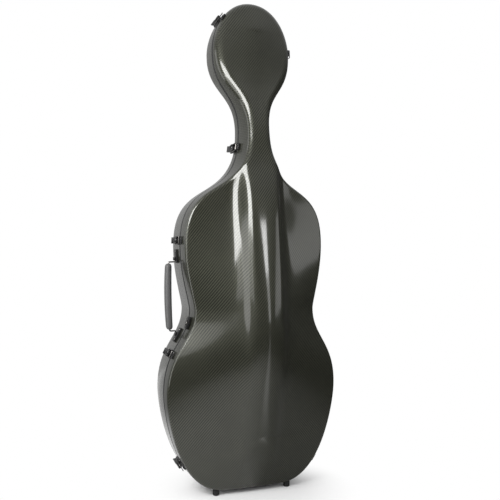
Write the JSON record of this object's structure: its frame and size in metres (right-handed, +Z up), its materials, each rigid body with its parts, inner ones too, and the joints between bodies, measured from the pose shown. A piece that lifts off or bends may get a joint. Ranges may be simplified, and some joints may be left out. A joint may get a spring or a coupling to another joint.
{
  "type": "cello case",
  "caption": "Hard-shell carbon cello case standing on its feet, with a hinged lid, draw latches, a side carrying handle, a lock and a padded inside.",
  "frame": {"origin": "on the floor, under the middle of the whole object as it stands", "axes": "+Z up along the case, -Y out of the lid, +X towards the hinges; the handle is on the -X side"},
  "size_m": [0.4976, 0.2982, 1.344],
  "materials": {
    "carbon_shell": "fine twill carbon fibre under a glossy clear coat",
    "black_plastic": "satin black moulded fittings",
    "black_rim": "black edge profile",
    "bright_steel": "bright drawn wire and turned steel",
    "black_rubber": "matt black",
    "velvet_foam": "short-pile velvet over foam",
    "webbing": "woven strap"
  },
  "bodies": {
    "back": {"back_shell": "carbon_shell", "back_lining": "velvet_foam", "back_rim": "black_rim", "rim_seal": "black_rubber", "latch_base_head_left": "black_plastic", "latch_base_neck": "black_plastic", "latch_base_upper_bout": "black_plastic", "latch_base_waist": "black_plastic", "latch_base_lower_left": "black_plastic", "latch_base_head_right": "black_plastic", "latch_base_lower_right": "black_plastic", "hinge_back_leaf_upper": "black_plastic", "hinge_pin_upper": "bright_steel", "hinge_back_leaf_lower": "black_plastic", "hinge_pin_lower": "bright_steel", "handle_bracket_upper": "black_plastic", "handle_bracket_lower": "black_plastic", "back_foot_left": "black_rubber", "back_foot_right": "black_rubber", "neck_cradle": "velvet_foam", "neck_strap": "webbing", "end_block": "velvet_foam", "shoulder_pad_left": "velvet_foam", "scroll_pad_left": "velvet_foam", "shoulder_pad_right": "velvet_foam", "scroll_pad_right": "velvet_foam"},
    "lid": {"lid_shell": "carbon_shell", "lid_lining": "velvet_foam", "lid_rim": "black_rim", "latch_catch_head_left": "black_plastic", "latch_catch_neck": "black_plastic", "latch_catch_upper_bout": "black_plastic", "latch_catch_waist": "black_plastic", "latch_catch_lower_left": "black_plastic", "latch_catch_head_right": "black_plastic", "latch_catch_lower_right": "black_plastic", "hinge_lid_leaf_upper": "black_plastic", "hinge_lid_leaf_lower": "black_plastic", "lock_body": "black_plastic", "lid_foot_left": "black_rubber", "lid_foot_right": "black_rubber"},
    "latch_lever_head_left": {"latch_lever_head_left": "black_plastic"},
    "latch_loop_head_left": {"latch_loop_head_left": "bright_steel"},
    "latch_lever_neck": {"latch_lever_neck": "black_plastic"},
    "latch_loop_neck": {"latch_loop_neck": "bright_steel"},
    "latch_lever_upper_bout": {"latch_lever_upper_bout": "black_plastic"},
    "latch_loop_upper_bout": {"latch_loop_upper_bout": "bright_steel"},
    "latch_lever_waist": {"latch_lever_waist": "black_plastic"},
    "latch_loop_waist": {"latch_loop_waist": "bright_steel"},
    "latch_lever_lower_left": {"latch_lever_lower_left": "black_plastic"},
    "latch_loop_lower_left": {"latch_loop_lower_left": "bright_steel"},
    "latch_lever_head_right": {"latch_lever_head_right": "black_plastic"},
    "latch_loop_head_right": {"latch_loop_head_right": "bright_steel"},
    "latch_lever_lower_right": {"latch_lever_lower_right": "black_plastic"},
    "latch_loop_lower_right": {"latch_loop_lower_right": "bright_steel"},
    "handle": {"handle_bail": "bright_steel", "handle_grip": "black_plastic"},
    "lock_barrel": {"lock_barrel": "bright_steel"}
  },
  "joints": [
    {"name": "lid_hinge", "type": "hinge", "parent": "back", "child": "lid", "pos_m": [0.2413, 0.01286, 0.30248], "axis": [-0.1102, 0, 0.9939], "range_deg": [0, 110]},
    {"name": "latch_lever_head_left_hinge", "type": "hinge", "parent": "back", "child": "latch_lever_head_left", "pos_m": [-0.09653, 0.02586, 1.30091], "axis": [0.5515, 0, 0.8342], "range_deg": [0, 110]},
    {"name": "latch_loop_head_left_hinge", "type": "hinge", "parent": "latch_lever_head_left", "child": "latch_loop_head_left", "pos_m": [-0.09352, 0.03986, 1.29892], "axis": [0.5515, 0, 0.8342], "range_deg": [-132, 0]},
    {"name": "latch_lever_neck_hinge", "type": "hinge", "parent": "back", "child": "latch_lever_neck", "pos_m": [-0.05294, 0.02586, 0.94554], "axis": [0.1361, 0, 0.9907], "range_deg": [0, 110]},
    {"name": "latch_loop_neck_hinge", "type": "hinge", "parent": "latch_lever_neck", "child": "latch_loop_neck", "pos_m": [-0.04938, 0.03986, 0.94505], "axis": [0.1361, 0, 0.9907], "range_deg": [-132, 0]},
    {"name": "latch_lever_upper_bout_hinge", "type": "hinge", "parent": "back", "child": "latch_lever_upper_bout", "pos_m": [-0.2135, 0.02586, 0.68633], "axis": [0.0369, 0, 0.9993], "range_deg": [0, 110]},
    {"name": "latch_loop_upper_bout_hinge", "type": "hinge", "parent": "latch_lever_upper_bout", "child": "latch_loop_upper_bout", "pos_m": [-0.2099, 0.03986, 0.68619], "axis": [0.0369, 0, 0.9993], "range_deg": [-132, 0]},
    {"name": "latch_lever_waist_hinge", "type": "hinge", "parent": "back", "child": "latch_lever_waist", "pos_m": [-0.23433, 0.02586, 0.38496], "axis": [0.4446, 0, 0.8957], "range_deg": [0, 110]},
    {"name": "latch_loop_waist_hinge", "type": "hinge", "parent": "latch_lever_waist", "child": "latch_loop_waist", "pos_m": [-0.23111, 0.03986, 0.38336], "axis": [0.4446, 0, 0.8957], "range_deg": [-132, 0]},
    {"name": "latch_lever_lower_left_hinge", "type": "hinge", "parent": "back", "child": "latch_lever_lower_left", "pos_m": [-0.20468, 0.02586, 0.08046], "axis": [-0.5101, 0, 0.8601], "range_deg": [0, 110]},
    {"name": "latch_loop_lower_left_hinge", "type": "hinge", "parent": "latch_lever_lower_left", "child": "latch_loop_lower_left", "pos_m": [-0.20158, 0.03986, 0.0823], "axis": [-0.5101, 0, 0.8601], "range_deg": [-132, 0]},
    {"name": "latch_lever_head_right_hinge", "type": "hinge", "parent": "back", "child": "latch_lever_head_right", "pos_m": [0.11118, 0.02586, 1.21537], "axis": [0.042, 0, -0.9991], "range_deg": [0, 110]},
    {"name": "latch_loop_head_right_hinge", "type": "hinge", "parent": "latch_lever_head_right", "child": "latch_loop_head_right", "pos_m": [0.10758, 0.03986, 1.21522], "axis": [0.042, 0, -0.9991], "range_deg": [-132, 0]},
    {"name": "latch_lever_lower_right_hinge", "type": "hinge", "parent": "back", "child": "latch_lever_lower_right", "pos_m": [0.1848, 0.02586, 0.06904], "axis": [-0.5576, 0, -0.8301], "range_deg": [0, 110]},
    {"name": "latch_loop_lower_right_hinge", "type": "hinge", "parent": "latch_lever_lower_right", "child": "latch_loop_lower_right", "pos_m": [0.18181, 0.03986, 0.07104], "axis": [-0.5576, 0, -0.8301], "range_deg": [-132, 0]},
    {"name": "handle_hinge", "type": "hinge", "parent": "back", "child": "handle", "pos_m": [-0.20747, 0.05486, 0.53333], "axis": [-0.0199, 0, 0.9998], "range_deg": [-50, 50]},
    {"name": "lock_turn", "type": "hinge", "parent": "lid", "child": "lock_barrel", "pos_m": [-0.18542, -0.00214, 0.4648], "axis": [-0.9575, 0, 0.2886], "range_deg": [0, 90]}
  ],
  "couplings": [
    {"joint": "latch_loop_head_left_hinge", "follows": "latch_lever_head_left_hinge", "ratio": -1.2},
    {"joint": "latch_loop_neck_hinge", "follows": "latch_lever_neck_hinge", "ratio": -1.2},
    {"joint": "latch_loop_upper_bout_hinge", "follows": "latch_lever_upper_bout_hinge", "ratio": -1.2},
    {"joint": "latch_loop_waist_hinge", "follows": "latch_lever_waist_hinge", "ratio": -1.2},
    {"joint": "latch_loop_lower_left_hinge", "follows": "latch_lever_lower_left_hinge", "ratio": -1.2},
    {"joint": "latch_loop_head_right_hinge", "follows": "latch_lever_head_right_hinge", "ratio": -1.2},
    {"joint": "latch_loop_lower_right_hinge", "follows": "latch_lever_lower_right_hinge", "ratio": -1.2}
  ]
}
